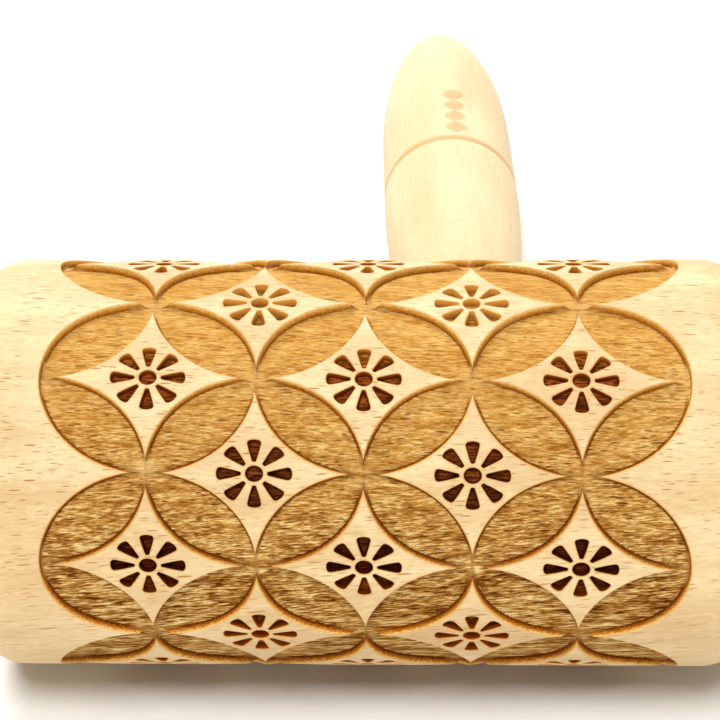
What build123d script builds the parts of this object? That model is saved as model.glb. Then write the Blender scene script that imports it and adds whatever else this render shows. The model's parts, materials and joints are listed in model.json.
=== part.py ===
from build123d import *
import math
import os

# Engraved one-handed pattern roller, millimetres, +Z up.
# The barrel lies along X and rests on the floor with the end of the handle.
# Design frame: barrel axis on X, crossbar and handle towards +Y, everything but
# the barrel tilted down about X by `droop`, then moved so that the origin is the
# bottom centre of the whole roller.

# ---- barrel
barrel_d = 60.0
barrel_l = 111.5
barrel_edge_r = 6.0
bore_d = 12.0

# ---- engraving: overlapping circles, eight-petal flowers
rows = 7                 # circles around the barrel
columns = 3              # circles along the barrel
circle_d = 29.9          # along the axis
engrave_depth = 1.1
kerf = -0.12             # each pocket stops just short of its nominal arc, so the pockets stay apart
row_offset_deg = 36.5    # first row of in-between flowers, from -Y towards +Z
pattern_shift = 1.05      # the engraving sits a little nearer the arm end
flower_r_out = 5.22      # petal tips, along the axis
flower_r_in = 1.82       # petal roots
petal_w_out = 2.04
petal_w_in = 0.6
flower_hole_d = 2.5
flower_depth = 1.1

# ---- bushes
bush_id = 6.12
bush_sleeve_l = 14.0
bush_flange_d = 20.0
bush_flange_t = 1.5

# ---- bent rod frame
rod_d = 6.0
tip_d = 5.0              # threaded left tip
arm_x = 70.75            # centre of the right-hand arm
bend_r = 7.0
crossbar_y = 38.0        # centre of the crossbar behind the barrel axis
tang_bend_r = 6.0
tang_x = 16.5            # where the tang's line crosses the barrel axis
tang_lean_deg = 1.94     # the tang leans back towards the barrel's middle
tang_end = 104.0         # along the tang's line, from the barrel axis

# ---- axle hardware
play = 0.2               # end play each side
thrust_t = 1.0
thrust_d = 14.0
thrust_id = 6.2
collar_d = 13.0
collar_l = 5.0
screw_d = 3.0
screw_l = 3.4
end_washer_d = 14.0
end_washer_t = 1.0
nut_af = 8.0
nut_hex_h = 4.0
nut_h = 10.0
nut_bore_depth = 7.5

# ---- handle, stations along the tang's line from the barrel axis
handle_start = 46.2
handle_neck_r = 9.3
handle_full = 86.0       # from here the handle is a true cylinder
handle_r = 12.0
handle_end = 161.8
handle_nose_l = 50.2     # half ellipse
groove_at = 91.2
groove_w = 2.0
groove_depth = 0.9
tang_washer_t = 1.2
tang_washer_d = 15.0
pin_at = 54.0
pin_d = 2.0

R = barrel_d / 2
HL = barrel_l / 2
os.makedirs("parts", exist_ok=True)

# ---- droop: the handle's nose touches the floor that the barrel lies on
nose_at = handle_end - handle_nose_l


def floor_gap(a):
    s = math.cos(math.radians(tang_lean_deg)) * math.sin(a)
    c = math.sqrt(1 - s * s)
    return R - (nose_at * s + math.sqrt((handle_r * c) ** 2 + (handle_nose_l * s) ** 2))


lo, hi = 0.02, 0.4
for _ in range(60):
    mid = (lo + hi) / 2
    if floor_gap(mid) > 0:
        lo = mid
    else:
        hi = mid
droop = lo


def tube(x0, x1, r_out, r_in):
    """A ring along X between two stations."""
    ring = Pos(x0, 0, 0) * Rot(0, 90, 0) * (
        Cylinder(r_out, x1 - x0, align=(Align.CENTER, Align.CENTER, Align.MIN))
        - Cylinder(r_in, x1 - x0, align=(Align.CENTER, Align.CENTER, Align.MIN))
    )
    return ring


def rod_x(x0, x1, r):
    return Pos(x0, 0, 0) * Rot(0, 90, 0) * Cylinder(
        r, x1 - x0, align=(Align.CENTER, Align.CENTER, Align.MIN)
    )


# ---- barrel blank
with BuildSketch(Plane.XY) as blank:
    with BuildLine():
        Polyline((-HL, bore_d / 2), (HL, bore_d / 2), (HL, R - barrel_edge_r))
        RadiusArc((HL, R - barrel_edge_r), (HL - barrel_edge_r, R), -barrel_edge_r)
        Line((HL - barrel_edge_r, R), (-HL + barrel_edge_r, R))
        RadiusArc((-HL + barrel_edge_r, R), (-HL, R - barrel_edge_r), -barrel_edge_r)
        Line((-HL, R - barrel_edge_r), (-HL, bore_d / 2))
    make_face()
barrel = revolve(blank.sketch, Axis.X, 360)

# ---- engraving
period = 2 * math.pi * R / rows          # around the barrel
a_in, b_in = circle_d / 2, period / 2    # semi-axes of a circle as laid on the barrel


def arc_points(cx, cv, grow, start, end, n, centre_v):
    """Points of an ellipse arc laid on the barrel, seen along the radius at centre_v.
    They are taken at the pocket's floor, where the upright walls of neighbours come closest."""
    pts = []
    for i in range(n + 1):
        t = math.radians(start + (end - start) * i / n)
        x = cx + (a_in + grow) * math.cos(t)
        v = cv + (b_in + grow) * math.sin(t)
        pts.append((x, (R - engrave_depth) * math.sin((v - centre_v) / R)))
    return pts


def lens_tool(sx, sv):
    """The pocket between a circle and its diagonal neighbour, in the quadrant (sx, sv)."""
    vc = b_in / 2
    # The two arcs cross just short of the circles' tangent points, because both are shrunk.
    ga, gb = a_in + kerf, b_in + kerf
    # crossing angles, found on the circle centred on the origin
    def miss(t):
        x, v = ga * math.cos(t), gb * math.sin(t)
        return ((x - a_in) / ga) ** 2 + ((v - b_in) / gb) ** 2 - 1

    def root(lo_, hi_):
        f0 = miss(lo_)
        for _ in range(60):
            m = (lo_ + hi_) / 2
            if (miss(m) > 0) == (f0 > 0):
                lo_ = m
            else:
                hi_ = m
        return lo_

    t0 = math.degrees(root(math.radians(-10), math.radians(20)))
    t1 = math.degrees(root(math.radians(100), math.radians(70)))
    outer = arc_points(0, 0, kerf, t0, t1, 8, vc)
    # the same crossings seen from the neighbour's centre
    x0, v0 = ga * math.cos(math.radians(t0)), gb * math.sin(math.radians(t0))
    x1, v1 = ga * math.cos(math.radians(t1)), gb * math.sin(math.radians(t1))
    s0 = math.degrees(math.atan2((v0 - b_in) / gb, (x0 - a_in) / ga)) % 360
    s1 = math.degrees(math.atan2((v1 - b_in) / gb, (x1 - a_in) / ga)) % 360
    inner = arc_points(a_in, b_in, kerf, s1, s0, 8, vc)
    outer = [(sx * x, sv * w) for x, w in outer]
    inner = [(sx * x, sv * w) for x, w in inner]
    inner[0], inner[-1] = outer[-1], outer[0]
    with BuildSketch(Plane.XY) as lens:
        with BuildLine():
            Spline(*outer)
            Spline(*inner)
        make_face()
    prism = Pos(0, 0, R - engrave_depth - 2.5) * extrude(lens.sketch, amount=engrave_depth + 5)
    core = Rot(0, 90, 0) * Cylinder(R - engrave_depth, circle_d * 3)
    return prism - core, sv * vc / R


def place(tool, x, angle_deg):
    """Stand a tool made about +Z at an angle measured from -Y towards +Z."""
    return Rot(90 - angle_deg, 0, 0) * Pos(x, 0, 0) * tool


step_deg = 360 / rows
circle_row = row_offset_deg + step_deg / 2
for sx in (1, -1):
    for sv in (1, -1):
        tool, dv = lens_tool(sx, sv)
        for c in range(columns):
            x = (c - (columns - 1) / 2) * circle_d + pattern_shift
            batch = []
            for j in range(rows):
                ang = circle_row + j * step_deg + math.degrees(dv)
                batch.append(place(tool, x, ang))
            barrel = barrel - batch

# flowers: one centre hole and eight petals, a little flattened around the barrel
flat = period / circle_d
petals = []
for k in range(8):
    th = math.radians(45 * k)
    ux, uv = math.cos(th), math.sin(th)
    nx, nv = -uv, ux
    tip = petal_w_out / 2
    pts = [
        (flower_r_in * ux + petal_w_in / 2 * nx, flower_r_in * uv + petal_w_in / 2 * nv),
        ((flower_r_out - tip * 0.7) * ux + tip * nx, (flower_r_out - tip * 0.7) * uv + tip * nv),
        (flower_r_out * ux, flower_r_out * uv),
        ((flower_r_out - tip * 0.7) * ux - tip * nx, (flower_r_out - tip * 0.7) * uv - tip * nv),
        (flower_r_in * ux - petal_w_in / 2 * nx, flower_r_in * uv - petal_w_in / 2 * nv),
    ]
    pts = [(p[0], p[1] * flat) for p in pts]
    with BuildSketch(Plane.XY) as petal:
        with BuildLine():
            Line(pts[0], pts[1])
            ThreePointArc(pts[1], pts[2], pts[3])
            Line(pts[3], pts[4])
            Line(pts[4], pts[0])
        make_face()
    petals.append(
        Pos(0, 0, R - flower_depth) * extrude(petal.sketch, amount=flower_depth + 1)
    )
with BuildSketch(Plane.XY) as dot:
    Ellipse(flower_hole_d / 2, flower_hole_d / 2 * flat)
petals.append(Pos(0, 0, R - flower_depth) * extrude(dot.sketch, amount=flower_depth + 1))

for j in range(2 * rows):
    between = j % 2 == 0
    cols = [-0.5, 0.5] if between else [-1, 0, 1]
    ang = row_offset_deg + j * step_deg / 2
    batch = []
    for c in cols:
        batch += [place(p, c * circle_d + pattern_shift, ang) for p in petals]
    barrel = barrel - batch

# ---- bushes, pressed into the ends of the bore
bush_right = tube(HL - bush_sleeve_l, HL, bore_d / 2, bush_id / 2) + tube(
    HL, HL + bush_flange_t, bush_flange_d / 2, bush_id / 2
)
bush_left = mirror(bush_right, Plane.YZ)

# ---- axial stack
shoulder_x = -(HL + bush_flange_t + play)
end_washer = tube(shoulder_x - end_washer_t, shoulder_x, end_washer_d / 2, tip_d / 2)
nut_x = shoulder_x - end_washer_t
thrust_x = HL + bush_flange_t + play
thrust_washer = tube(thrust_x, thrust_x + thrust_t, thrust_d / 2, thrust_id / 2)
collar_x = thrust_x + thrust_t
tip_x = nut_x - (nut_bore_depth - 0.8)

# ---- bent rod, in the design plane (XY)
lean = math.radians(tang_lean_deg)


def on_tang(t):
    """A point on the tang's line, t from the barrel axis."""
    return (tang_x - t * math.sin(lean), t * math.cos(lean), 0)


t_cross = crossbar_y / math.cos(lean)
route = FilletPolyline(
    (shoulder_x, 0, 0),
    (arm_x, 0, 0),
    (arm_x, crossbar_y, 0),
    on_tang(t_cross),
    on_tang(tang_end),
    radius=[bend_r, bend_r, tang_bend_r],
)
rod = sweep(
    Plane(origin=(shoulder_x, 0, 0), z_dir=(1, 0, 0)) * Circle(rod_d / 2), path=route
)
rod = rod + rod_x(tip_x, shoulder_x, tip_d / 2)
rod = chamfer(rod.edges().group_by(Axis.X)[0], 0.6)

# ---- handle, turned about the tang's line
tang_plane = Plane(origin=(tang_x, 0, 0), x_dir=(math.cos(lean), math.sin(lean), 0),
                   z_dir=(-math.sin(lean), math.cos(lean), 0))


def on_handle(shape):
    """Place a shape whose +Z is the tang's line."""
    return tang_plane.location * shape


nose = [
    (
        handle_r * math.cos(math.radians(10 * i)),
        nose_at + handle_nose_l * math.sin(math.radians(10 * i)),
    )
    for i in range(9)
] + [(0.0, handle_end)]
with BuildSketch(Plane.XZ) as profile:
    with BuildLine():
        Line((0, handle_start), (handle_neck_r - 0.8, handle_start))
        RadiusArc((handle_neck_r - 0.8, handle_start), (handle_neck_r, handle_start + 0.8), -0.8)
        Spline(
            (handle_neck_r, handle_start + 0.8),
            (10.45, 52.0),
            (11.1, 60.0),
            (11.62, 71.0),
            (handle_r, handle_full),
            tangents=[(0.35, 1), (0, 1)],
        )
        Line((handle_r, handle_full), (handle_r, groove_at - groove_w / 2))
        Line((handle_r, groove_at - groove_w / 2), (handle_r - groove_depth, groove_at))
        Line((handle_r - groove_depth, groove_at), (handle_r, groove_at + groove_w / 2))
        Line((handle_r, groove_at + groove_w / 2), (handle_r, nose_at))
        Spline(*nose, tangents=[(0, 1), (-1, 0)])
        Line((0, handle_end), (0, handle_start))
    make_face()
handle = revolve(profile.sketch, Axis.Z, 360)
handle = handle - Pos(0, 0, handle_start) * Cylinder(
    rod_d / 2, tang_end - handle_start, align=(Align.CENTER, Align.CENTER, Align.MIN)
)
pin_hole = Pos(0, 0, pin_at) * Rot(0, 90, 0) * Cylinder(pin_d / 2, 40)
handle = handle - pin_hole
pin_len = 2 * 10.35
pin = Pos(0, 0, pin_at) * Rot(0, 90, 0) * Cylinder(pin_d / 2, pin_len)
handle = on_handle(handle)
handle_pin = on_handle(pin)
rod = rod - on_handle(pin_hole)
tang_washer = on_handle(
    Pos(0, 0, handle_start - tang_washer_t)
    * (
        Cylinder(tang_washer_d / 2, tang_washer_t, align=(Align.CENTER, Align.CENTER, Align.MIN))
        - Cylinder(rod_d / 2, tang_washer_t, align=(Align.CENTER, Align.CENTER, Align.MIN))
    )
)

# ---- stop collar with its set screw, screw facing up
collar = tube(collar_x, collar_x + collar_l, collar_d / 2, rod_d / 2)
collar_mid = collar_x + collar_l / 2
screw_hole = Pos(collar_mid, 0, rod_d / 2) * Cylinder(
    screw_d / 2, 10, align=(Align.CENTER, Align.CENTER, Align.MIN)
)
collar = collar - screw_hole
collar = chamfer(
    [e for e in collar.edges().filter_by(GeomType.CIRCLE)
     if abs(e.radius - collar_d / 2) < 1e-6],
    0.4,
)
screw = Pos(collar_mid, 0, rod_d / 2) * Cylinder(
    screw_d / 2, screw_l, align=(Align.CENTER, Align.CENTER, Align.MIN)
)
socket = Pos(collar_mid, 0, rod_d / 2 + screw_l) * extrude(
    RegularPolygon(0.75, 6, major_radius=False), amount=-1.6
)
screw = screw - socket

# ---- dome nut, opening towards +X
dome_r = nut_af / 2 - 0.15
hexagon = extrude(RegularPolygon(nut_af / 2, 6, major_radius=False), amount=nut_hex_h)
round_blank = Cylinder(nut_af / 2 * 1.13, nut_hex_h, align=(Align.CENTER, Align.CENTER, Align.MIN))
round_blank = chamfer(round_blank.edges().group_by(Axis.Z)[-1], 0.5)
body = hexagon & round_blank
dome = Pos(0, 0, nut_hex_h) * Cylinder(
    dome_r, nut_h - nut_hex_h - dome_r, align=(Align.CENTER, Align.CENTER, Align.MIN)
) + Pos(0, 0, nut_h - dome_r) * Sphere(dome_r)
nut = body + dome
nut = nut - Cylinder(tip_d / 2, nut_bore_depth, align=(Align.CENTER, Align.CENTER, Align.MIN))
cap_nut = Pos(nut_x, 0, 0) * Rot(0, -90, 0) * nut

# ---- put the roller down: tilt the frame, then find the bottom centre
fixed = {
    "frame_rod": rod,
    "end_washer": end_washer,
    "cap_nut": cap_nut,
    "stop_collar": collar,
    "collar_screw": screw,
    "tang_washer": tang_washer,
    "handle": handle,
    "handle_pin": handle_pin,
}
spinning = {
    "roller_barrel": barrel,
    "bush_left": bush_left,
    "bush_right": bush_right,
    "thrust_washer": thrust_washer,
}
tilt = Rot(math.degrees(-droop), 0, 0)
nodes = {k: tilt * v for k, v in fixed.items()}
nodes.update(spinning)

left_x = nut_x - nut_h
right_x = arm_x + rod_d / 2
mid_x = (left_x + right_x) / 2
s = math.cos(lean) * math.cos(droop)
back_y = nose_at * s + math.sqrt((handle_nose_l * s) ** 2 + (handle_r ** 2) * (1 - s * s))
mid_y = (back_y - R) / 2
move = Pos(-mid_x, -mid_y, R)

for name, shape in nodes.items():
    out = move * shape
    solids = out.solids()
    out = solids[0] if len(solids) == 1 else Compound(children=list(solids))
    out.label = name
    export_step(out, f"parts/{name}.step")

print("droop deg", round(math.degrees(droop), 4))
print("origin of the design frame at", round(-mid_x, 4), round(-mid_y, 4), R)
print("tang line point", [round(v, 4) for v in (
    tang_x - mid_x, -mid_y, R)], "dir", [round(v, 6) for v in (
        -math.sin(lean), math.cos(lean) * math.cos(droop), -math.cos(lean) * math.sin(droop))])
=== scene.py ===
import json
import math

import bmesh
import bpy
import numpy as np
from mathutils import Euler, Matrix, Vector
from mathutils.geometry import delaunay_2d_cdt


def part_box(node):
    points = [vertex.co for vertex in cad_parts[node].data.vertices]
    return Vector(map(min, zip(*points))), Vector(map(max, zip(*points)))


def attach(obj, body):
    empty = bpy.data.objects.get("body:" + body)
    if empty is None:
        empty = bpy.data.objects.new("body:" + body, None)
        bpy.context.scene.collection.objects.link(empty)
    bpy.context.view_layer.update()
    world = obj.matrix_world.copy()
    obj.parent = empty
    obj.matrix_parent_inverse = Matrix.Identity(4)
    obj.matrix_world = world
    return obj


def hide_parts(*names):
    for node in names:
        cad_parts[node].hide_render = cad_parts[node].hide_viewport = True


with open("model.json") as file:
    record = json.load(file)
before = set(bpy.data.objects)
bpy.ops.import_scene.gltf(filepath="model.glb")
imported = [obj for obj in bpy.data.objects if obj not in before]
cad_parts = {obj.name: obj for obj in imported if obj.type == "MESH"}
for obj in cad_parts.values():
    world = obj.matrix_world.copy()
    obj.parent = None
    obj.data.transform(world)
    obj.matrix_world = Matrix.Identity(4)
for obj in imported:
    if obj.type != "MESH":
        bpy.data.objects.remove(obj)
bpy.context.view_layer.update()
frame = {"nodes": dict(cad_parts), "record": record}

MM = 0.001
scene = bpy.context.scene

# ------------------------------------------------------------------ places, in mm
lo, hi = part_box("roller_barrel")
AX = np.array([(lo.x + hi.x) / 2, (lo.y + hi.y) / 2, (lo.z + hi.z) / 2]) / MM  # barrel centre
R = (hi.z - lo.z) / 2 / MM
HL = (hi.x - lo.x) / 2 / MM
EDGE_R = 6.0
BORE_R = 6.0

record = frame["record"]
grip = next(m for m in record["mounts"] if m["name"] == "handle_grip")
H_DIR = np.array(grip["axis"], float)
H_DIR = H_DIR / np.linalg.norm(H_DIR)
H_MID = np.array(grip["pos_m"], float) / MM
# the point of the handle's line that is level with the barrel axis
H_ORG = H_MID - H_DIR * (H_MID[1] - AX[1]) / H_DIR[1]
H_SIDE = np.cross(H_DIR, [0, 0, 1.0])
H_SIDE = H_SIDE / np.linalg.norm(H_SIDE)
H_UP = np.cross(H_SIDE, H_DIR)

DROOP = math.atan2(-H_DIR[2], H_DIR[1])
LEAN = math.asin(-H_DIR[0])


# ------------------------------------------------------------------ camera
def camera():
    xc, dist, yaw, pitch, roll, f_px = 11.70, 360.0, 1.927, 2.401, -0.067, 2418.6
    e = math.radians(39.975)
    eye = Vector((AX[0] + xc, AX[1] - dist * math.cos(e), AX[2] + dist * math.sin(e)))
    fw = Vector((0, math.cos(e), -math.sin(e)))
    rt = Vector((1, 0, 0))
    up = Vector((0, math.sin(e), math.cos(e)))

    def turn(v, axis, deg):
        return Matrix.Rotation(math.radians(deg), 3, axis) @ v

    fw, rt = turn(fw, up, yaw), turn(rt, up, yaw)
    fw, up = turn(fw, rt, pitch), turn(up, rt, pitch)
    rt, up = turn(rt, fw, roll), turn(up, fw, roll)
    cam = bpy.data.cameras.new("camera")
    cam.sensor_width = 36.0
    cam.lens = f_px / 720 * 36.0
    cam.clip_start = 0.01
    cam.clip_end = 20
    ob = bpy.data.objects.new("camera", cam)
    m = Matrix((rt, up, -fw)).transposed().to_4x4()
    m.translation = eye * MM
    ob.matrix_world = m
    scene.collection.objects.link(ob)
    scene.camera = ob
    return ob


camera()


# ------------------------------------------------------------------ mesh helpers
def make_mesh(name, verts, faces, mats, face_mat=None, sharp_deg=35.0, smooth=True):
    """A mesh object from points in mm, smooth but for edges sharper than sharp_deg."""
    me = bpy.data.meshes.new(name)
    me.from_pydata([tuple(np.asarray(v) * MM) for v in verts], [], faces)
    for m in mats:
        me.materials.append(m)
    if face_mat is not None:
        me.polygons.foreach_set("material_index", np.asarray(face_mat, np.int32))
    me.polygons.foreach_set("use_smooth", [smooth] * len(me.polygons))
    me.update()
    if smooth:
        mark_sharp(me, sharp_deg)
    ob = bpy.data.objects.new(name, me)
    scene.collection.objects.link(ob)
    return ob


def mark_sharp(me, deg):
    bm = bmesh.new()
    bm.from_mesh(me)
    limit = math.radians(deg)
    for e in bm.edges:
        if len(e.link_faces) == 2:
            e.smooth = e.calc_face_angle(0) < limit
        else:
            e.smooth = False
    bm.to_mesh(me)
    bm.free()


def ring_points(origin, axis, side, up, s, r, n, phase=0.0):
    a = np.arange(n) * 2 * math.pi / n + phase
    return (
        np.asarray(origin)[None]
        + s * np.asarray(axis)[None]
        + r * (np.cos(a)[:, None] * np.asarray(side)[None] + np.sin(a)[:, None] * np.asarray(up)[None])
    )


def lathe(name, profile, origin, axis, side, up, n, mats, mat_of=None, closed=False, sharp=35.0):
    """Turns a profile of (s, r) about a line. A radius of 0 makes a pole. closed joins the last ring to the first."""
    verts, rows = [], []
    for s, r in profile:
        if r <= 1e-6:
            rows.append([len(verts)])
            verts.append(np.asarray(origin) + s * np.asarray(axis))
        else:
            rows.append(list(range(len(verts), len(verts) + n)))
            verts.extend(ring_points(origin, axis, side, up, s, r, n))
    faces, fm = [], []
    pairs = list(zip(range(len(rows) - 1), range(1, len(rows))))
    if closed:
        pairs.append((len(rows) - 1, 0))
    for k, (i, j) in enumerate(pairs):
        a, b = rows[i], rows[j]
        m = mat_of(k) if mat_of else 0
        for q in range(n):
            p = (q + 1) % n
            if len(a) == 1:
                faces.append((a[0], b[q], b[p]))
            elif len(b) == 1:
                faces.append((a[q], b[0], a[p]))
            else:
                faces.append((a[q], b[q], b[p], a[p]))
            fm.append(m)
    # the order above faces outwards when side x up = axis and s grows; fix by volume
    ob = make_mesh(name, verts, faces, mats, fm, sharp)
    out_facing(ob.data)
    return ob


def out_facing(me):
    bm = bmesh.new()
    bm.from_mesh(me)
    bmesh.ops.recalc_face_normals(bm, faces=bm.faces)
    bm.to_mesh(me)
    bm.free()


# ------------------------------------------------------------------ material helpers
class Nodes:
    """Short names for building a shader."""

    def __init__(self, name):
        self.mat = bpy.data.materials.new(name)
        self.mat.use_nodes = True
        self.nt = self.mat.node_tree
        self.nt.nodes.clear()
        self.out = self.nt.nodes.new("ShaderNodeOutputMaterial")
        self.bsdf = self.nt.nodes.new("ShaderNodeBsdfPrincipled")
        self.nt.links.new(self.bsdf.outputs[0], self.out.inputs[0])

    def put(self, socket, value):
        if isinstance(value, bpy.types.NodeSocket):
            self.nt.links.new(value, socket)
        elif value is not None:
            socket.default_value = value

    def set(self, key, value):
        self.put(self.bsdf.inputs[key], value)

    def coords(self, scale, rot=(0, 0, 0), loc=(0, 0, 0)):
        """Object coordinates in mm, moved, turned, then scaled."""
        tc = self.nt.nodes.new("ShaderNodeTexCoord")
        m1 = self.nt.nodes.new("ShaderNodeMapping")
        m1.inputs["Scale"].default_value = (1000, 1000, 1000)
        m1.inputs["Location"].default_value = loc
        self.nt.links.new(tc.outputs["Object"], m1.inputs["Vector"])
        m2 = self.nt.nodes.new("ShaderNodeMapping")
        m2.inputs["Rotation"].default_value = rot
        self.nt.links.new(m1.outputs[0], m2.inputs["Vector"])
        m3 = self.nt.nodes.new("ShaderNodeMapping")
        m3.inputs["Scale"].default_value = scale
        self.nt.links.new(m2.outputs[0], m3.inputs["Vector"])
        return m3.outputs[0]

    def scaled(self, vector, scale, loc=(0, 0, 0)):
        m = self.nt.nodes.new("ShaderNodeMapping")
        m.inputs["Scale"].default_value = scale
        m.inputs["Location"].default_value = loc
        self.nt.links.new(vector, m.inputs["Vector"])
        return m.outputs[0]

    def noise(self, vector, scale=1.0, detail=2.0, rough=0.5, distort=0.0):
        n = self.nt.nodes.new("ShaderNodeTexNoise")
        n.inputs["Scale"].default_value = scale
        n.inputs["Detail"].default_value = detail
        n.inputs["Roughness"].default_value = rough
        n.inputs["Distortion"].default_value = distort
        self.nt.links.new(vector, n.inputs["Vector"])
        return n.outputs["Fac"]

    def voronoi(self, vector, scale=1.0, feature="F1", random=1.0):
        n = self.nt.nodes.new("ShaderNodeTexVoronoi")
        n.feature = feature
        n.inputs["Scale"].default_value = scale
        n.inputs["Randomness"].default_value = random
        self.nt.links.new(vector, n.inputs["Vector"])
        return n

    def math(self, op, a, b=None, c=None, clamp=False):
        n = self.nt.nodes.new("ShaderNodeMath")
        n.operation = op
        n.use_clamp = clamp
        self.put(n.inputs[0], a)
        if b is not None:
            self.put(n.inputs[1], b)
        if c is not None:
            self.put(n.inputs[2], c)
        return n.outputs[0]

    def step(self, value, a, b, lo_=0.0, hi_=1.0, smooth=True):
        n = self.nt.nodes.new("ShaderNodeMapRange")
        n.interpolation_type = "SMOOTHSTEP" if smooth else "LINEAR"
        self.put(n.inputs["Value"], value)
        n.inputs["From Min"].default_value = a
        n.inputs["From Max"].default_value = b
        n.inputs["To Min"].default_value = lo_
        n.inputs["To Max"].default_value = hi_
        return n.outputs["Result"]

    def ramp(self, value, stops):
        n = self.nt.nodes.new("ShaderNodeValToRGB")
        el = n.color_ramp.elements
        while len(el) < len(stops):
            el.new(0.5)
        for e, (p, c) in zip(el, stops):
            e.position = p
            e.color = (*c, 1.0)
        self.put(n.inputs[0], value)
        return n.outputs["Color"]

    def mix(self, fac, a, b, kind="MIX"):
        n = self.nt.nodes.new("ShaderNodeMix")
        n.data_type = "RGBA"
        n.blend_type = kind
        self.put(n.inputs[0], fac)
        self.put(n.inputs[6], (*a, 1.0) if isinstance(a, tuple) else a)
        self.put(n.inputs[7], (*b, 1.0) if isinstance(b, tuple) else b)
        return n.outputs[2]

    def attr(self, name):
        n = self.nt.nodes.new("ShaderNodeAttribute")
        n.attribute_name = name
        return n.outputs["Fac"]

    def split(self, vector):
        n = self.nt.nodes.new("ShaderNodeSeparateXYZ")
        self.nt.links.new(vector, n.inputs[0])
        return n.outputs

    def bump(self, height, strength, distance_mm):
        n = self.nt.nodes.new("ShaderNodeBump")
        n.inputs["Strength"].default_value = strength
        n.inputs["Distance"].default_value = distance_mm * MM
        self.nt.links.new(height, n.inputs["Height"])
        self.nt.links.new(n.outputs[0], self.bsdf.inputs["Normal"])
        return n


ALBEDO = 1 / 1.3               # lights are this much stronger than white would need


def srgb(r, g, b):
    def f(v):
        v = min(v, 255) / 255
        return ALBEDO * (v / 12.92 if v <= 0.04045 else ((v + 0.055) / 1.055) ** 2.4)

    return (f(r), f(g), f(b))


AXIS_LOC = tuple(-AX)          # object coordinates in mm from the barrel's centre


def aligned(direction):
    """Euler that turns a direction onto X, for textures that follow the grain."""
    f = Vector(direction).normalized()
    side = f.cross(Vector((0, 0, 1))).normalized()
    return tuple(Matrix((f, side, side.cross(f))).to_euler("XYZ"))


GRAIN = aligned((1.0, 0.075, 0.10))


def beech(name, loc, rot, light, dark, fleck, seed=0.0, halo=False, strong=1.0):
    """Fine sanded beech: soft bands, fine fibre and short ray flecks along local X."""
    m = Nodes(name)
    p = m.coords((1, 1, 1), rot, loc)
    band = m.noise(m.scaled(p, (1 / 80, 1 / 6.5, 1 / 6.5), (seed, 0, 0)), 1.0, 3, 0.55, 0.5)
    cloud = m.noise(m.scaled(p, (1 / 26, 1 / 12, 1 / 12), (0, seed, 0)), 1.0, 2, 0.5)
    fibre = m.noise(m.scaled(p, (1 / 4.5, 1 / 0.30, 1 / 0.30), (0, 0, seed)), 1.0, 3, 0.62, 0.15)
    silk = m.noise(m.scaled(p, (1 / 2.0, 1 / 0.75, 1 / 0.75), (seed, 0, seed)), 1.0, 2, 0.5)
    tone = m.math("ADD", m.math("MULTIPLY", band, 0.55), m.math("MULTIPLY", cloud, 0.45))
    mid = [(a + b) / 2 for a, b in zip(light, dark)]
    base = m.ramp(tone, [(0.38, srgb(*dark)), (0.5, srgb(*mid)), (0.60, srgb(*light))])
    fine = m.step(fibre, 0.36, 0.72, 0.0, 1.0)
    base = m.mix(m.math("MULTIPLY", fine, 0.36 * strong), base, srgb(*[v * 0.86 for v in dark]))
    pale = m.step(silk, 0.52, 0.75, 0.0, 0.35)
    base = m.mix(pale, base, srgb(*[min(255, v * 1.05) for v in light]))
    dashes = None
    for k, (cell, fat, amount) in enumerate((((6.0, 0.32, 0.32), 0.28, 0.8), ((10.0, 0.46, 0.46), 0.24, 1.0))):
        q = m.scaled(p, tuple(1 / c for c in cell), (seed + 3.1 * k, seed, 1.7 * k))
        v = m.voronoi(q, 1.0)
        rnd = m.split(v.outputs["Color"])
        size = m.math("MULTIPLY_ADD", rnd[0], fat * 0.75, fat * 0.55)
        d = m.step(m.math("SUBTRACT", size, v.outputs["Distance"]), 0.0, 0.11)
        d = m.math("MULTIPLY", d, m.step(rnd[1], 0.15, 0.9, 0.15, amount))
        dashes = d if dashes is None else m.math("MAXIMUM", dashes, d)
    dashes = m.math("MULTIPLY", dashes, strong)
    base = m.mix(dashes, base, srgb(*fleck))
    if halo:
        edge = m.attr("edge")
        ring = m.step(edge, -0.24, -0.03)
        base = m.mix(m.math("MULTIPLY", ring, 0.75), base, srgb(236, 176, 88))
    m.set("Base Color", base)
    m.set("Roughness", m.step(fibre, 0.2, 0.8, 0.48, 0.62))
    m.bsdf.inputs["Specular IOR Level"].default_value = 0.3
    h = m.math("SUBTRACT", m.math("MULTIPLY", fibre, 0.5), m.math("MULTIPLY", dashes, 0.7))
    m.bump(h, 0.45, 0.06)
    return m


RAISED = ((248, 220, 168), (227, 189, 134), (186, 122, 50))
wood_barrel = beech("beech_barrel", AXIS_LOC, GRAIN, *RAISED, halo=True).mat


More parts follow.
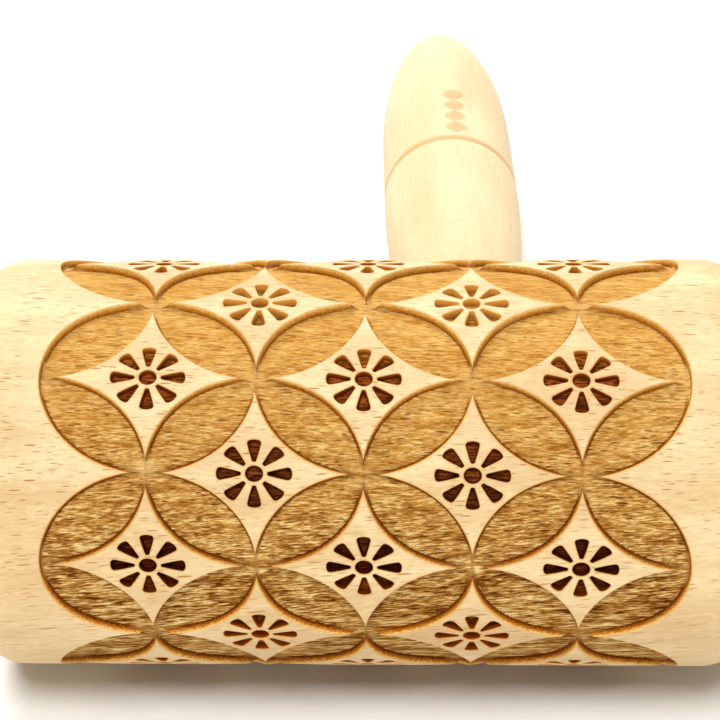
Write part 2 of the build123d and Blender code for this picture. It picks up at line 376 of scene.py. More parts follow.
def burnt(name, kind):
    """Laser-burnt beech, with painted shade that darkens it towards the bottom of the barrel and partly in the creases:
    kind is floor, wall, dark_wall or dark_floor.
    """
    m = Nodes(name)
    p = m.coords((1, 1, 1), GRAIN, AXIS_LOC)
    q = m.coords((1, 1, 1), (0, 0, 0), AXIS_LOC)
    xyz = m.split(q)
    # painted shade: the burnt colour is lighter towards the top of the barrel and darker underneath, in barrel
    # coordinates
    painted_shade_by_height = m.math("MULTIPLY_ADD", xyz[2], -1 / 60, 0.5, clamp=True)
    streak = m.noise(m.scaled(p, (1 / 3.0, 1 / 0.25, 1 / 0.25)), 1.0, 4, 0.68, 0.2)
    broad = m.noise(m.scaled(p, (1 / 9, 1 / 1.4, 1 / 1.4)), 1.0, 3, 0.6, 0.6)
    grit = m.noise(m.scaled(p, (1 / 0.5, 1 / 0.2, 1 / 0.2)), 1.0, 2, 0.6)
    hair = m.noise(m.scaled(p, (1 / 1.6, 1 / 0.13, 1 / 0.13)), 1.0, 2, 0.6)
    # torn rays: short dark dashes
    dash = None
    for k, cell in enumerate(((5.0, 0.36, 0.36), (2.4, 0.25, 0.25))):
        v = m.voronoi(m.scaled(p, tuple(1 / c for c in cell), (2.3 * k, 0, k)), 1.0)
        rnd = m.split(v.outputs["Color"])
        size = m.math("MULTIPLY_ADD", rnd[0], 0.30, 0.12)
        d = m.step(m.math("SUBTRACT", size, v.outputs["Distance"]), 0.0, 0.14)
        d = m.math("MULTIPLY", d, m.step(rnd[1], 0.25, 0.9, 0.0, 1.0))
        dash = d if dash is None else m.math("MAXIMUM", dash, d)
    # raster lines of the laser, around the barrel
    turn = m.math("MULTIPLY", m.math("ARCTAN2", xyz[2], xyz[1]), R)
    comb = m.math("ABSOLUTE", m.math("SUBTRACT", m.math("FRACT", m.math("DIVIDE", turn, 0.46)), 0.5))
    comb = m.step(comb, 0.12, 0.42)
    ins = m.attr("ins")
    dep = m.attr("dep")
    # where circles touch, the pockets run on into each other and are burnt less
    away = m.step(m.attr("touch"), 0.9, 3.4)
    if kind == "floor":
        tone = m.math("ADD", m.math("MULTIPLY", streak, 0.52), m.math("MULTIPLY", broad, 0.24))
        tone = m.math("ADD", tone, m.math("MULTIPLY", hair, 0.24))
        light = m.ramp(tone, [(0.39, srgb(196, 122, 40)), (0.46, srgb(220, 158, 72)), (0.53, srgb(236, 182, 98)), (0.60, srgb(250, 208, 128))])
        dark = m.ramp(tone, [(0.41, srgb(78, 28, 0)), (0.465, srgb(156, 94, 30)), (0.52, srgb(206, 152, 76)), (0.575, srgb(255, 226, 152))])
        # painted shade: the lighter floor colour towards the top, the darker one underneath
        base = m.mix(m.step(painted_shade_by_height, 0.02, 0.44, 0.0, 1.0, smooth=False), light, dark)
        # the dark dashes are the wood's own; their strength growing towards the bottom is painted shade
        cut = m.math("MULTIPLY", dash, m.step(painted_shade_by_height, 0.0, 0.2, 0.4, 0.9, smooth=False))
        base = m.mix(cut, base, srgb(112, 48, 4))
        # darker foot beside the walls: partly the laser's char along its raster, partly painted crease shade; its
        # strength also follows the painted shade by height
        near = m.step(ins, -0.05, 0.30, 1.0, 0.0)
        near = m.math("MULTIPLY", near, m.math("MULTIPLY_ADD", comb, 0.15, 0.75))
        near = m.math("MULTIPLY", near, m.step(streak, 0.36, 0.6, 1.25, 0.35))
        near = m.math("MULTIPLY", near, m.step(painted_shade_by_height, 0.01, 0.12, 0.45, 0.95, smooth=False))
        near = m.math("MULTIPLY", near, away, clamp=True)
        base = m.mix(near, base, srgb(112, 50, 4))
        # the lighter colour where circles touch is a lighter burn; its fading towards the bottom is painted shade
        base = m.mix(m.math("MULTIPLY", m.math("SUBTRACT", 1.0, away), m.step(painted_shade_by_height, 0.0, 0.4, 0.3, 0.08)), base, srgb(232, 184, 108))
        rough, depth, strength = 0.85, 0.30, 1.0
        h = m.math("ADD", m.math("MULTIPLY", streak, 1.0), m.math("MULTIPLY", dash, -0.5))
        h = m.math("ADD", h, m.math("MULTIPLY", grit, 0.18))
    elif kind == "wall":
        mottled = m.math("ADD", m.math("MULTIPLY", streak, 0.75), m.math("MULTIPLY", grit, 0.75))
        # darker down the wall towards its foot: partly the laser's char, partly painted crease shade
        d = m.math("ADD", dep, m.math("SUBTRACT", mottled, 0.75))
        pale = m.ramp(d, [(0.02, srgb(252, 216, 144)), (0.24, srgb(234, 180, 92)), (0.52, srgb(206, 138, 50)), (0.95, srgb(156, 86, 18))])
        dark = m.ramp(d, [(0.02, srgb(252, 214, 138)), (0.2, srgb(234, 172, 78)), (0.48, srgb(180, 104, 24)), (0.9, srgb(108, 44, 0))])
        # painted shade: paler walls towards the top, darker ones underneath
        base = m.mix(m.step(painted_shade_by_height, 0.03, 0.18, 0.0, 1.0, smooth=False), pale, dark)
        # dark line at the wall's foot: partly char along the raster, partly painted crease shade; its strength also
        # follows the painted shade by height
        foot = m.math("MULTIPLY", m.step(dep, 0.5, 0.9), m.math("MULTIPLY_ADD", comb, 0.15, 0.7))
        foot = m.math("MULTIPLY", foot, m.step(grit, 0.35, 0.6, 0.4, 1.0))
        foot = m.math("MULTIPLY", foot, m.step(painted_shade_by_height, 0.02, 0.16, 0.4, 1.0, smooth=False))
        foot = m.math("MULTIPLY", foot, away)
        base = m.mix(foot, base, srgb(92, 38, 2))
        tone = m.math("ADD", m.math("MULTIPLY", streak, 0.66), m.math("MULTIPLY", broad, 0.34))
        plain = m.ramp(tone, [(0.37, srgb(150, 88, 28)), (0.46, srgb(204, 146, 70)), (0.54, srgb(228, 180, 104)), (0.62, srgb(248, 212, 142))])
        # painted shade: the joined walls are darker towards the bottom
        plain = m.mix(m.step(painted_shade_by_height, 0.0, 0.4, 0.1, 0.5), plain, srgb(140, 84, 30))
        joined = m.math("MULTIPLY", m.step(m.attr("touch"), 1.8, 4.6, 1.0, 0.0), m.step(dep, 0.55, 0.92))
        base = m.mix(joined, base, plain)
        rough, depth, strength = 0.8, 0.16, 0.9
        h = m.math("ADD", streak, m.math("MULTIPLY", grit, 0.4))
    elif kind == "dark_wall":
        # painted shade: the petal walls darken row by row towards the bottom and lighten again on the lowest row
        body = m.ramp(painted_shade_by_height, [(0.0, srgb(250, 188, 90)), (0.02, srgb(236, 164, 68)), (0.044, srgb(190, 106, 30)), (0.062, srgb(150, 70, 14)), (0.2, srgb(104, 42, 6)), (0.41, srgb(56, 14, 0)), (0.65, srgb(160, 72, 10))])
        # darker deeper down the petal wall: partly char, partly painted crease shade
        body = m.mix(m.step(dep, 0.4, 1.0, 0.0, 0.45), body, srgb(40, 8, 0))
        base = m.mix(m.step(dep, 0.0, 0.22), srgb(238, 180, 96), body)
        rough, depth, strength = 0.85, 0.08, 0.6
        h = streak
    else:
        # painted shade: the petal floors darken row by row towards the bottom and lighten again on the lowest row
        rows_ = [(0.0, (246, 172, 74)), (0.02, (238, 160, 62)), (0.044, (206, 120, 38)), (0.06, (156, 76, 20)), (0.2, (126, 60, 18)), (0.41, (80, 26, 4)), (0.65, (206, 100, 20))]
        deep = m.ramp(painted_shade_by_height, [(t, srgb(*[v * 0.6 for v in c])) for t, c in rows_])
        pale = m.ramp(painted_shade_by_height, [(t, srgb(*[min(255, v * (1.06 if c[0] > 230 else 1.28) + 12) for v in c])) for t, c in rows_])
        base = m.mix(m.step(streak, 0.42, 0.62), deep, pale)
        # darker petal floor beside its walls: partly char, partly painted crease shade
        near = m.step(ins, 0.0, 0.30, 1.0, 0.0)
        base = m.mix(m.math("MULTIPLY", near, 0.35), base, srgb(60, 18, 0))
        rough, depth, strength = 0.9, 0.2, 1.0
        h = streak
    m.set("Base Color", base)
    m.bsdf.inputs["Roughness"].default_value = rough
    m.bsdf.inputs["Specular IOR Level"].default_value = 0.03
    m.bump(h, strength, depth)
    return m.mat


burn_floor = burnt("beech_burnt_floor", "floor")
burn_wall = burnt("beech_burnt_wall", "wall")
dark_wall = burnt("beech_charred_wall", "dark_wall")
dark_floor = burnt("beech_charred_floor", "dark_floor")

# ------------------------------------------------------------------ engraved barrel
ROWS = 7
A = 14.93                                   # circle radius as drawn
FLAT = math.pi * R / ROWS / A               # how much the drawing is flattened around the barrel
DELTA = 0.18                                # pockets spread past the drawn circles
WALL = 0.16                                 # half way down a pocket's side
FOOT = 0.42                                 # foot of the side
FLOOR_AT = 0.62                             # where the rounded foot has become floor
RIM = 0.08
RIM_DROP = 0.05
HALO = 0.26                                 # width of the lightly scorched margin
DEPTH = 1.1
F_WALL = 0.20
F_DEPTH = 1.1
U_MAX = HL - EDGE_R                         # where the edge rounding starts
ROW_OFFSET = math.radians(36.5)
SHIFT_X = 1.05
SKEW = math.radians(-0.458)

TOUCH = [(A, 0), (3 * A, 0), (0, A), (2 * A, A)]   # where circles touch
A_C = [(0, 0), (2 * A, 0), (0, 2 * A), (2 * A, 2 * A)]
B_C = [(-A, A), (A, A), (3 * A, A), (-A, -A), (A, -A), (3 * A, -A)]


def pocket(p):
    """How far inside the lens pockets a drawn point is, in mm, negative outside."""
    dB = np.max([A - np.hypot(p[:, 0] - c[0], p[:, 1] - c[1]) for c in B_C], 0)
    return np.max([np.minimum(A - np.hypot(p[:, 0] - c[0], p[:, 1] - c[1]), dB) for c in A_C], 0)


def rounded(points, radii, grow=0.0, step=0.19):
    """A closed outline of straight sides with rounded corners, moved outwards by grow."""
    pts = [np.array(p, float) for p in points]
    n = len(pts)
    area = sum(pts[i][0] * pts[(i + 1) % n][1] - pts[(i + 1) % n][0] * pts[i][1] for i in range(n))
    if area < 0:
        pts, radii = pts[::-1], radii[::-1]
    # move every side outwards
    lines = []
    for i in range(n):
        d = pts[(i + 1) % n] - pts[i]
        d = d / np.linalg.norm(d)
        nrm = np.array([d[1], -d[0]])
        lines.append((pts[i] + nrm * grow, d))
    corners = []
    for i in range(n):
        (p, d), (q, e) = lines[i - 1], lines[i]
        t = np.linalg.solve(np.array([d, -e]).T, q - p)
        corners.append(p + d * t[0])
    out = []
    for i in range(n):
        c = corners[i]
        a = corners[i - 1] - c
        b = corners[(i + 1) % n] - c
        la, lb = np.linalg.norm(a), np.linalg.norm(b)
        a, b = a / la, b / lb
        r = max(radii[i] + grow, 0.03)
        half = math.acos(np.clip(a @ b, -1, 1)) / 2
        t = min(r / math.tan(half), la * 0.49, lb * 0.49)
        r = t * math.tan(half)
        centre = c + (a + b) / np.linalg.norm(a + b) * (r / math.sin(half))
        s, e = c + a * t - centre, c + b * t - centre
        a0, a1 = math.atan2(s[1], s[0]), math.atan2(e[1], e[0])
        while a1 < a0:
            a1 += 2 * math.pi
        k = max(2, int(math.ceil(r * (a1 - a0) / step)))
        for j in range(k + 1):
            w = a0 + (a1 - a0) * j / k
            out.append(centre + r * np.array([math.cos(w), math.sin(w)]))
    return np.array(out)


def flower(cx, cy, grow):
    """Outlines of the eight petals and the centre hole."""
    shapes = []
    for k in range(8):
        th = math.radians(45 * k)
        c, s = math.cos(th), math.sin(th)
        base = [(1.80, -0.26), (3.5, -0.74), (5.02, -1.08), (5.28, 0.0), (5.02, 1.08), (3.5, 0.74), (1.80, 0.26)]
        rad = [0.2, 1.5, 0.5, 1.6, 0.5, 1.5, 0.2]
        pts = [(cx + x * c - y * s, cy + x * s + y * c) for x, y in base]
        shapes.append(rounded(pts, rad, grow))
    n = 24
    w = np.arange(n) * 2 * math.pi / n
    r = 1.26 + grow
    shapes.append(np.stack([cx + r * np.cos(w), cy + r * np.sin(w)], 1))
    return shapes


FLOWERS = [(0, 0), (2 * A, 0), (A, A)]
flower_shapes = [s for c in FLOWERS for s in flower(*c, 0.0)]


def inside_flower(p):
    """How far inside a petal or hole a drawn point is, negative outside."""
    best = np.full(len(p), -1e9)
    for s in flower_shapes:
        mid = s.mean(0)
        near = np.hypot(*(p - mid).T) < 4.5
        if not near.any():
            continue
        q = p[near]
        a, b = s, np.roll(s, -1, 0)
        d = b - a
        L = (d * d).sum(1)
        t = np.clip(((q[:, None] - a[None]) * d[None]).sum(2) / L[None], 0, 1)
        foot = a[None] + t[..., None] * d[None]
        dist = np.sqrt(((q[:, None] - foot) ** 2).sum(2)).min(1)
        cross = d[None, :, 0] * (q[:, None, 1] - a[None, :, 1]) - d[None, :, 1] * (q[:, None, 0] - a[None, :, 0])
        inside = (cross >= -1e-9).all(1)
        best[near] = np.maximum(best[near], np.where(inside, dist, -dist))
    return best


def clip(p, q, box_):
    """The part of a segment inside a rectangle, or None."""
    t0, t1 = 0.0, 1.0
    d = q - p
    for k in range(2):
        for sign, lim in ((-1, box_[0][k]), (1, box_[1][k])):
            den = sign * d[k]
            num = sign * (lim - p[k])
            if abs(den) < 1e-12:
                if num < 0:
                    return None
            elif den > 0:
                t1 = min(t1, num / den)
            else:
                t0 = max(t0, num / den)
    if t1 - t0 < 1e-9:
        return None
    return p + d * t0, p + d * t1


def drawing():
    """The engraving's quarter drawing as (points, triangles): u from 0 to U_MAX, q from 0 to A."""
    box_ = ((0.0, 0.0), (U_MAX, A))
    segs = []

    def add(poly, closed=True, keep=None):
        a = poly
        b = np.roll(poly, -1, 0)
        if not closed:
            a, b = poly[:-1], poly[1:]
        for p, q in zip(a, b):
            if keep is not None and not keep((p + q) / 2):
                continue
            c = clip(p, q, box_)
            if c is not None:
                segs.append(c)

    def arcs(radius, level, step):
        for c in A_C + B_C:
            n = int(2 * math.pi * radius / step)
            n += -n % 8
            w = (np.arange(n) + 0.0) * 2 * math.pi / n
            poly = np.stack([c[0] + radius * np.cos(w), c[1] + radius * np.sin(w)], 1)
            mids = (poly + np.roll(poly, -1, 0)) / 2
            ok = pocket(mids) > level - 0.12
            for i in np.nonzero(ok)[0]:
                s = clip(poly[i], poly[(i + 1) % n], box_)
                if s is not None:
                    segs.append(s)

    arcs(A + DELTA + HALO, -DELTA - HALO, 0.9)
    arcs(A + DELTA + RIM, -DELTA - RIM, 0.52)
    arcs(A + DELTA, -DELTA, 0.52)
    arcs(A + DELTA - WALL, -DELTA + WALL, 0.52)
    arcs(A + DELTA - FOOT, -DELTA + FOOT, 0.52)
    arcs(A + DELTA - FLOOR_AT, -DELTA + FLOOR_AT, 0.8)
    for c in FLOWERS:
        for s in flower(*c, HALO)[:8]:
            add(s)
        for s in flower(*c, RIM):
            add(s)
        for s in flower(*c, 0.0):
            add(s)
        for s in flower(*c, -F_WALL):
            add(s)

    pts, index = [], {}

    def point(p):
        key = (round(float(p[0]), 5), round(float(p[1]), 5))
        if key not in index:
            index[key] = len(pts)
            pts.append(key)
        return index[key]

    edges = []
    for p, q in segs:
        i, j = point(p), point(q)
        if i != j:
            edges.append((i, j))
    # the rectangle's sides, through every point that already lies on them
    tol = 1e-5

    def side(fixed, value, start, end, n):
        other = 1 - fixed
        on = sorted({p[other] for p in pts if abs(p[fixed] - value) < tol} | {start, end})
        for t in np.linspace(start, end, n + 1):
            if min(abs(t - o) for o in on) > 0.4 * (end - start) / n:
                on.append(float(t))
        on = sorted(set(round(t, 5) for t in on))
        ids = []
        for t in on:
            key = [0.0, 0.0]
            key[fixed], key[other] = value, t
            ids.append(point(key))
        edges.extend(zip(ids[:-1], ids[1:]))

    side(0, 0.0, 0.0, A, 12)
    side(0, U_MAX, 0.0, A, 12)
    side(1, 0.0, 0.0, U_MAX, 40)
    side(1, A, 0.0, U_MAX, 40)
    # filling points
    step = 1.5
    fill = []
    for j in range(int(A / (step * 0.866)) + 1):
        for i in range(int(U_MAX / step) + 1):
            fill.append(((i + 0.5 * (j % 2)) * step + 0.3, j * step * 0.866 + 0.3))
    fill = np.array(fill)
    fill = fill[(fill[:, 0] < U_MAX - 0.4) & (fill[:, 1] < A - 0.4)]
    seg_a = np.array([s[0] for s in segs])
    seg_b = np.array([s[1] for s in segs])
    mid = (seg_a + seg_b) / 2
    keep = np.ones(len(fill), bool)
    for k in range(0, len(fill), 200):
        d = np.hypot(*(fill[k:k + 200, None] - mid[None]).transpose(2, 0, 1)).min(1)
        keep[k:k + 200] = d > 0.6
    for p in fill[keep]:
        point(p)
    vo, eo, fo, _, _, _ = delaunay_2d_cdt([Vector(p) for p in pts], edges, [], 0, 1e-5)
    V = np.array([(v.x, v.y) for v in vo])
    T = np.array([f for f in fo], int)
    # counter-clockwise triangles, none empty
    a, b, c = V[T[:, 0]], V[T[:, 1]], V[T[:, 2]]
    area = np.cross(b - a, c - a)
    T = T[np.abs(area) > 1e-7]
    area = area[np.abs(area) > 1e-7]
    T[area < 0] = T[area < 0][:, ::-1]
    return V, T


def barrel():
    V, T = drawing()
    F = pocket(V)
    G = inside_flower(V)
    # depth of each drawn point
    drop = np.zeros(len(V))
    rim = (F > -DELTA - RIM) & (F <= -DELTA)
    drop[rim] = RIM_DROP * (F[rim] + DELTA + RIM) / RIM
    wall = F > -DELTA
    w = F[wall] + DELTA
    sloped = np.interp(w, (0.0, WALL, FOOT, FLOOR_AT), (0.0, 0.44, 0.95, 1.0))
    upright = np.clip(w / WALL, 0, 1)
    d_touch = np.min([np.hypot(V[wall, 0] - x, V[wall, 1] - y) for x, y in TOUCH], 0)
    t = np.clip((d_touch - 1.6) / 3.2, 0, 1)
    t = t * t * (3 - 2 * t)
    drop[wall] = RIM_DROP + (DEPTH - RIM_DROP) * (sloped * t + upright * (1 - t))
    near = (G > -RIM) & (G <= 0)
    drop[near] = RIM_DROP * (G[near] + RIM) / RIM
    fl = G > 0
    drop[fl] = RIM_DROP + (F_DEPTH - RIM_DROP) * np.clip(G[fl] / F_WALL, 0, 1)
    dep = drop / DEPTH
    ins = np.where(fl, G - F_WALL, F + DELTA - FOOT)
    edge = np.maximum(F + DELTA, G)
    # distance to the nearest point where circles touch
    touch = np.min([np.hypot(V[:, 0] - x, V[:, 1] - y) for x, y in TOUCH], 0)
    touch = np.where(fl, 9.0, touch)
    # what each triangle is
    mid = V[T].mean(1)
    Fm, Gm = pocket(mid), inside_flower(mid)
    kind = np.zeros(len(T), int)
    kind[Fm > -DELTA] = 1
    kind[Fm > -DELTA + FOOT] = 2
    kind[Gm > 0] = 3
    kind[Gm > F_WALL] = 4
    # flat copies: right, left, then both mirrored around the barrel
    n = len(V)
    quads = []
    for su in (1, -1):
        for sq in (1, -1):
            W = V * np.array([su, sq])
            TT = T if su * sq > 0 else T[:, ::-1]
            quads.append((W, TT))
    pts, tris, kinds, deps, inss, edges, touches = [], [], [], [], [], [], []
    off = 0
    for j in range(ROWS):
        for W, TT in quads:
            u, q = W[:, 0], W[:, 1]
            fade = np.clip((U_MAX - np.abs(u)) / 3.0, 0, 1)
            x = u + SHIFT_X * fade
            th = ROW_OFFSET + math.pi / ROWS + j * 2 * math.pi / ROWS + FLAT * q / R + SKEW * u / R * fade
            r = R - drop
            pts.append(np.stack([x, -r * np.cos(th), r * np.sin(th)], 1))
            tris.append(TT + off)
            kinds.append(kind)
            deps.append(dep)
            inss.append(ins)
            edges.append(edge)
            touches.append(touch)
            off += n
    P, TR, K = np.concatenate(pts), np.concatenate(tris), np.concatenate(kinds)
    D, I, E, C = np.concatenate(deps), np.concatenate(inss), np.concatenate(edges), np.concatenate(touches)
    key = np.round(P / 0.0005).astype(np.int64)
    _, first, back = np.unique(key, axis=0, return_index=True, return_inverse=True)
    back = back.reshape(-1)
    P, D, I, E, C = P[first], D[first], I[first], E[first], C[first]
    TR = back[TR]
    ok = (TR[:, 0] != TR[:, 1]) & (TR[:, 1] != TR[:, 2]) & (TR[:, 0] != TR[:, 2])
    TR, K = TR[ok], K[ok]
    verts = [tuple(v) for v in P]
    faces = [tuple(int(i) for i in t) for t in TR]
    kinds = list(K)
    deps, inss, edges, touches = list(D), list(I), list(E), list(C)
    # ends: rounded edge, end face with a small countersink, bore
    for side_ in (1, -1):
        on = np.nonzero((np.abs(P[:, 0] - side_ * U_MAX) < 1e-3) & (np.hypot(P[:, 1], P[:, 2]) > R - 0.01))[0]
        ang = np.arctan2(P[on, 2], -P[on, 1])
        on = on[np.argsort(ang)]
        ang = np.sort(ang)
        prof = []
        for k in range(1, 9):
            w = math.radians(90 * k / 8)
            prof.append((U_MAX + EDGE_R * math.sin(w), R - EDGE_R + EDGE_R * math.cos(w), 0))
        for r in (21, 17, 13, 9.5, 7.0, BORE_R + 0.5):
            prof.append((HL, r, 5))
        prof.append((HL - 0.5, BORE_R, 5))
        prof.append((0.0, BORE_R, 5))
        prev = list(on)
        for x, r, k in prof:
            if x == 0.0 and side_ == -1:
                ring = centre_ring
            else:
                ring = list(range(len(verts), len(verts) + len(ang)))
                for a in ang:
                    verts.append((side_ * x, -r * math.cos(a), r * math.sin(a)))
                    deps.append(0.0)
                    inss.append(-5.0)
                    edges.append(-5.0)
                    touches.append(9.0)
                if x == 0.0:
                    centre_ring = ring
            m = len(ang)
            for i in range(m):
                j = (i + 1) % m
                quad = (prev[i], ring[i], ring[j], prev[j])
                faces.append(quad if side_ > 0 else quad[::-1])
                kinds.append(k)
            prev = ring
    verts = [tuple(AX + np.array(v)) for v in verts]
    me_mats = [wood_barrel, burn_wall, burn_floor, dark_wall, dark_floor, end_grain]
    ob = make_mesh("barrel", verts, faces, me_mats, kinds, 50.0)
    me = ob.data
    for name, values in (("dep", deps), ("ins", inss), ("edge", edges), ("touch", touches)):
        at = me.attributes.new(name, "FLOAT", "POINT")
        at.data.foreach_set("value", np.asarray(values, np.float32))
    out_facing(me)
    # sharp where the engraving changes from one kind of face to another
    bm = bmesh.new()
    bm.from_mesh(me)
    for e in bm.edges:
        if len(e.link_faces) == 2:
            a, b = e.link_faces
            if a.material_index != b.material_index and {a.material_index, b.material_index} != {0, 5}:
                e.smooth = False
            elif e.calc_face_angle(0) < math.radians(38):
                e.smooth = True
    bm.to_mesh(me)
    bm.free()
    return ob


def end_grain_mat():
    m = Nodes("beech_end_grain")
    p = m.coords((1, 1, 1), (0, 0, 0), AXIS_LOC)
    s = m.split(p)
    # rings about a pith well off the barrel
    dy = m.math("SUBTRACT", s[1], -46.0)
    dz = m.math("SUBTRACT", s[2], -62.0)
    rad = m.math("SQRT", m.math("ADD", m.math("MULTIPLY", dy, dy), m.math("MULTIPLY", dz, dz)))
    wob = m.noise(m.scaled(p, (0.02, 0.05, 0.05)), 1.0, 2, 0.5)
    rad = m.math("ADD", rad, m.math("MULTIPLY", wob, 6.0))
    ring = m.math("FRACT", m.math("DIVIDE", rad, 2.7))
    late = m.step(ring, 0.62, 0.98)
    pore = m.noise(m.scaled(p, (0.5, 1 / 0.22, 1 / 0.22)), 1.0, 2, 0.6)
    base = m.mix(m.math("MULTIPLY", late, 0.42), srgb(226, 190, 140), srgb(196, 150, 98))
    base = m.mix(m.math("MULTIPLY", m.step(pore, 0.48, 0.68), 0.45), base, srgb(170, 122, 76))
    ray = m.voronoi(m.scaled(m.coords((1, 1, 1), (math.radians(-53.4), 0, 0), AXIS_LOC), (0.02, 1 / 4.0, 1 / 0.5)), 1.0)
    rs = m.step(m.math("SUBTRACT", 0.26, ray.outputs["Distance"]), 0.0, 0.12)
    base = m.mix(m.math("MULTIPLY", rs, 0.5), base, srgb(232, 204, 160))
    m.set("Base Color", base)
    m.bsdf.inputs["Roughness"].default_value = 0.7
    m.bsdf.inputs["Specular IOR Level"].default_value = 0.25
    m.bump(pore, 0.4, 0.05)
    return m.mat


end_grain = end_grain_mat()
barrel_ob = barrel()
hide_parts("roller_barrel")
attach(barrel_ob, "barrel")

# ------------------------------------------------------------------ handle
NOSE_AT, NOSE_L, H_R, H_END = 111.6, 50.2, 12.0, 161.8
GROOVE_AT = 91.2


def handle_rot():
    """Euler that turns the handle's own directions into X along it."""
    m = Matrix((Vector(H_DIR), Vector(-H_SIDE), Vector(H_UP)))
    return m.to_euler("XYZ")


hr = handle_rot()
h_m = hr.to_matrix()
wood_handle = beech("beech_handle", tuple(-H_ORG), tuple(hr), (244, 219, 172), (234, 203, 152), (208, 160, 104), seed=7.3, strong=0.4)


def mark_handle():
    """A darker ring groove and a small burnt chain of leaves just past it, on top."""
    m = wood_handle
    base = m.bsdf.inputs["Base Color"].links[0].from_socket
    p = m.coords((1, 1, 1), tuple(hr), tuple(-H_ORG))
    # local X along the handle, local Z up out of it, local Y to one side
    loc = m.split(p)
    along, out_side, up = loc[0], loc[1], loc[2]
    ring = m.step(m.math("ABSOLUTE", m.math("SUBTRACT", along, GROOVE_AT)), 0.4, 1.5, 1.0, 0.0)
    base = m.mix(m.math("MULTIPLY", ring, 0.55), base, srgb(224, 176, 112))
    # chain of four pointed leaves, 4.9 mm pitch
    t = m.math("SUBTRACT", along, 93.4)
    cell = m.math("SUBTRACT", m.math("FRACT", m.math("DIVIDE", t, 4.9)), 0.5)
    half = m.math("MULTIPLY_ADD", m.math("MULTIPLY", cell, cell), -7.2, 1.8)
    side = m.math("ABSOLUTE", m.math("ADD", out_side, 1.2))
    leaf = m.step(m.math("SUBTRACT", half, side), -0.45, 0.30)
    span = m.math("MULTIPLY", m.step(t, 0.0, 0.1), m.step(t, 19.5, 19.6, 1.0, 0.0))
    top = m.step(up, 2.0, 3.0)
    leaf = m.math("MULTIPLY", m.math("MULTIPLY", leaf, span), top)
    blot = m.noise(m.scaled(p, (1 / 2.0, 1 / 0.5, 1 / 0.5)), 1.0, 3, 0.6)
    leaf = m.math("MULTIPLY", leaf, m.step(blot, 0.25, 0.6, 0.45, 0.85))
    base = m.mix(leaf, base, srgb(220, 168, 104))
    m.set("Base Color", base)


mark_handle()
wood_handle = wood_handle.mat


def handle():
    prof = [(46.2, 3.02), (46.2, 6.0), (46.2, 8.2), (46.26, 8.75), (46.5, 9.08), (46.8, 9.24), (47.2, 9.36)]
    # neck, as a smooth curve through the turned stations
    xs = np.array([47.0, 52.0, 60.0, 71.0, 86.0])
    rs = np.array([9.3, 10.45, 11.1, 11.62, 12.0])
    slopes = [0.35, 0.135, 0.056, 0.036, 0.0]

    def neck(s):
        i = min(max(int(np.searchsorted(xs, s)) - 1, 0), 3)
        h = xs[i + 1] - xs[i]
        t = (s - xs[i]) / h
        return (
            (2 * t**3 - 3 * t**2 + 1) * rs[i] + (t**3 - 2 * t**2 + t) * h * slopes[i]
            + (-2 * t**3 + 3 * t**2) * rs[i + 1] + (t**3 - t**2) * h * slopes[i + 1]
        )

    for s in list(np.linspace(48.0, 60.0, 13)) + list(np.linspace(62.0, 86.0, 17)):
        prof.append((s, min(neck(s), 12.0)))
    for s in (87.5, 89.0):
        prof.append((s, H_R))
    for ds, r in ((-1.3, H_R), (-1.05, 11.97), (-0.85, 11.86), (-0.1, 11.13), (0.0, 11.1), (0.1, 11.13), (0.85, 11.86), (1.05, 11.97), (1.3, H_R)):
        prof.append((GROOVE_AT + ds, r))
    for s in np.linspace(95.0, NOSE_AT, 9):
        prof.append((s, H_R))
    for a in np.linspace(4, 86, 42):
        w = math.radians(a)
        prof.append((NOSE_AT + NOSE_L * math.sin(w), H_R * math.cos(w)))
    prof.append((H_END, 0.0))
    # the bore's mouth, so that no hole shows beside the rod
    prof = [(52.0, 3.02)] + prof
    ob = lathe("handle_turned", prof, H_ORG, H_DIR, H_SIDE, H_UP, 96, [wood_handle], sharp=28)
    return ob


handle_ob = handle()
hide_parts("handle")
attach(handle_ob, "frame")


# ------------------------------------------------------------------ metal and nylon
def steel(name, colour, rough, scale=1.0, metallic=1.0, brush=(1, 1, 1), spots=0.3):
    m = Nodes(name)
    p = m.coords((1, 1, 1), (0, 0, 0), AXIS_LOC)
    n1 = m.noise(m.scaled(p, (0.35 * scale, 0.35 * scale, 0.35 * scale)), 1.0, 4, 0.6)
    n2 = m.noise(m.scaled(p, tuple(6.0 * b for b in brush)), 1.0, 2, 0.6)
    dark = tuple(c * 0.72 for c in colour)
    base = m.mix(m.step(n1, 0.35, 0.7, 0.0, spots), tuple(colour), dark)
    base = m.mix(m.step(n2, 0.45, 0.75, 0.0, 0.25), base, tuple(c * 0.85 for c in colour))
    m.set("Base Color", base)
    m.bsdf.inputs["Metallic"].default_value = metallic
    m.set("Roughness", m.step(m.math("ADD", m.math("MULTIPLY", n1, 0.6), m.math("MULTIPLY", n2, 0.4)), 0.3, 0.7, rough * 0.8, rough * 1.3))
    m.bump(n2, 0.05, 0.02)
    return m.mat


rod_mat = steel("zinc_rod", (0.66, 0.67, 0.69), 0.24, brush=(0.25, 2.0, 2.0))
hard_mat = steel("zinc_hardware", (0.60, 0.61, 0.62), 0.3, scale=2.0)
black_mat = steel("black_oxide", (0.035, 0.035, 0.04), 0.4, scale=3.0, metallic=0.8)
pin_mat = steel("plain_pin", (0.50, 0.50, 0.50), 0.35, scale=3.0)


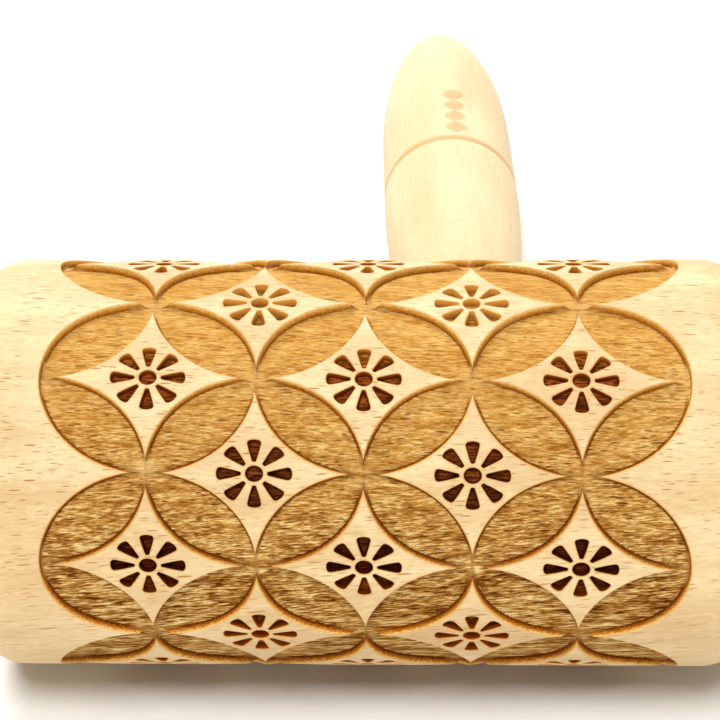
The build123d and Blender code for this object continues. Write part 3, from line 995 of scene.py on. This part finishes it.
def nylon_mat():
    m = Nodes("natural_nylon")
    p = m.coords((1, 1, 1), (0, 0, 0), AXIS_LOC)
    n1 = m.noise(m.scaled(p, (0.25, 0.25, 0.25)), 1.0, 3, 0.5)
    n2 = m.noise(m.scaled(p, (3, 3, 3)), 1.0, 2, 0.5)
    m.set("Base Color", m.mix(m.step(n1, 0.3, 0.7), srgb(236, 232, 218), srgb(222, 216, 198)))
    m.set("Roughness", m.step(n2, 0.3, 0.7, 0.38, 0.5))
    m.bsdf.inputs["Subsurface Weight"].default_value = 0.15
    m.bsdf.inputs["Subsurface Radius"].default_value = (0.002, 0.0018, 0.0014)
    m.bump(n2, 0.08, 0.02)
    return m.mat


nylon = nylon_mat()
NODES = frame["nodes"]
for node, mat in (
    ("bush_left", nylon), ("bush_right", nylon), ("thrust_washer", nylon),
    ("frame_rod", rod_mat), ("end_washer", hard_mat), ("cap_nut", hard_mat),
    ("stop_collar", hard_mat), ("collar_screw", black_mat), ("tang_washer", hard_mat),
    ("handle_pin", pin_mat),
):
    me = NODES[node].data
    me.materials.clear()
    me.materials.append(mat)

# ------------------------------------------------------------------ floor and light
def floor():
    m = Nodes("studio_floor")
    p = m.coords((1, 1, 1))
    n = m.noise(m.scaled(p, (0.004, 0.004, 0.004)), 1.0, 2, 0.5)
    m.set("Base Color", m.mix(n, (0.79, 0.79, 0.78), (0.81, 0.81, 0.80)))
    m.bsdf.inputs["Roughness"].default_value = 0.9
    m.bsdf.inputs["Specular IOR Level"].default_value = 0.1
    s = 3000.0
    ob = make_mesh("studio_floor", [(-s, -s, 0), (s, -s, 0), (s, s, 0), (-s, s, 0)], [(0, 1, 2, 3)], [m.mat], smooth=False)


floor()


def sun(name, direction, strength, angle_deg, colour=(1, 1, 1)):
    """Soft light from a direction, given as where it comes from."""
    li = bpy.data.lights.new(name, "SUN")
    li.energy = strength
    li.angle = math.radians(angle_deg)
    li.color = colour
    ob = bpy.data.objects.new(name, li)
    ob.rotation_euler = (-Vector(direction)).to_track_quat("-Z", "Y").to_euler()
    ob.location = Vector(direction).normalized() * 2
    scene.collection.objects.link(ob)


def from_angle(elevation, azimuth=0.0):
    """Elevation is counted over the top, so more than 90 comes from behind."""
    e, a = math.radians(elevation), math.radians(azimuth)
    return (math.sin(a) * abs(math.cos(e)), -math.cos(e) * math.cos(a), math.sin(e))


sun("key", from_angle(66, -10), 0.92 * math.pi, 22, (1.0, 0.99, 0.965))
sun("back", from_angle(132, -12), 1.02 * math.pi, 36, (1.0, 0.995, 0.98))

world = bpy.data.worlds.new("world")
world.use_nodes = True
wn = world.node_tree
back = wn.nodes["Background"]
back.inputs[0].default_value = (1, 1, 1, 1)
wc = wn.nodes.new("ShaderNodeTexCoord")
wsep = wn.nodes.new("ShaderNodeSeparateXYZ")
wmap = wn.nodes.new("ShaderNodeMapRange")
wmap.inputs["From Min"].default_value = 0.15
wmap.inputs["From Max"].default_value = 0.24
wmap.inputs["To Min"].default_value = 3.2
wmap.inputs["To Max"].default_value = 0.03
wn.links.new(wc.outputs["Generated"], wsep.inputs[0])
wn.links.new(wsep.outputs[2], wmap.inputs["Value"])
wn.links.new(wmap.outputs["Result"], back.inputs[1])
scene.world = world
scene.view_settings.view_transform = "Standard"
scene.view_settings.look = "None"
scene.view_settings.exposure = 0.0
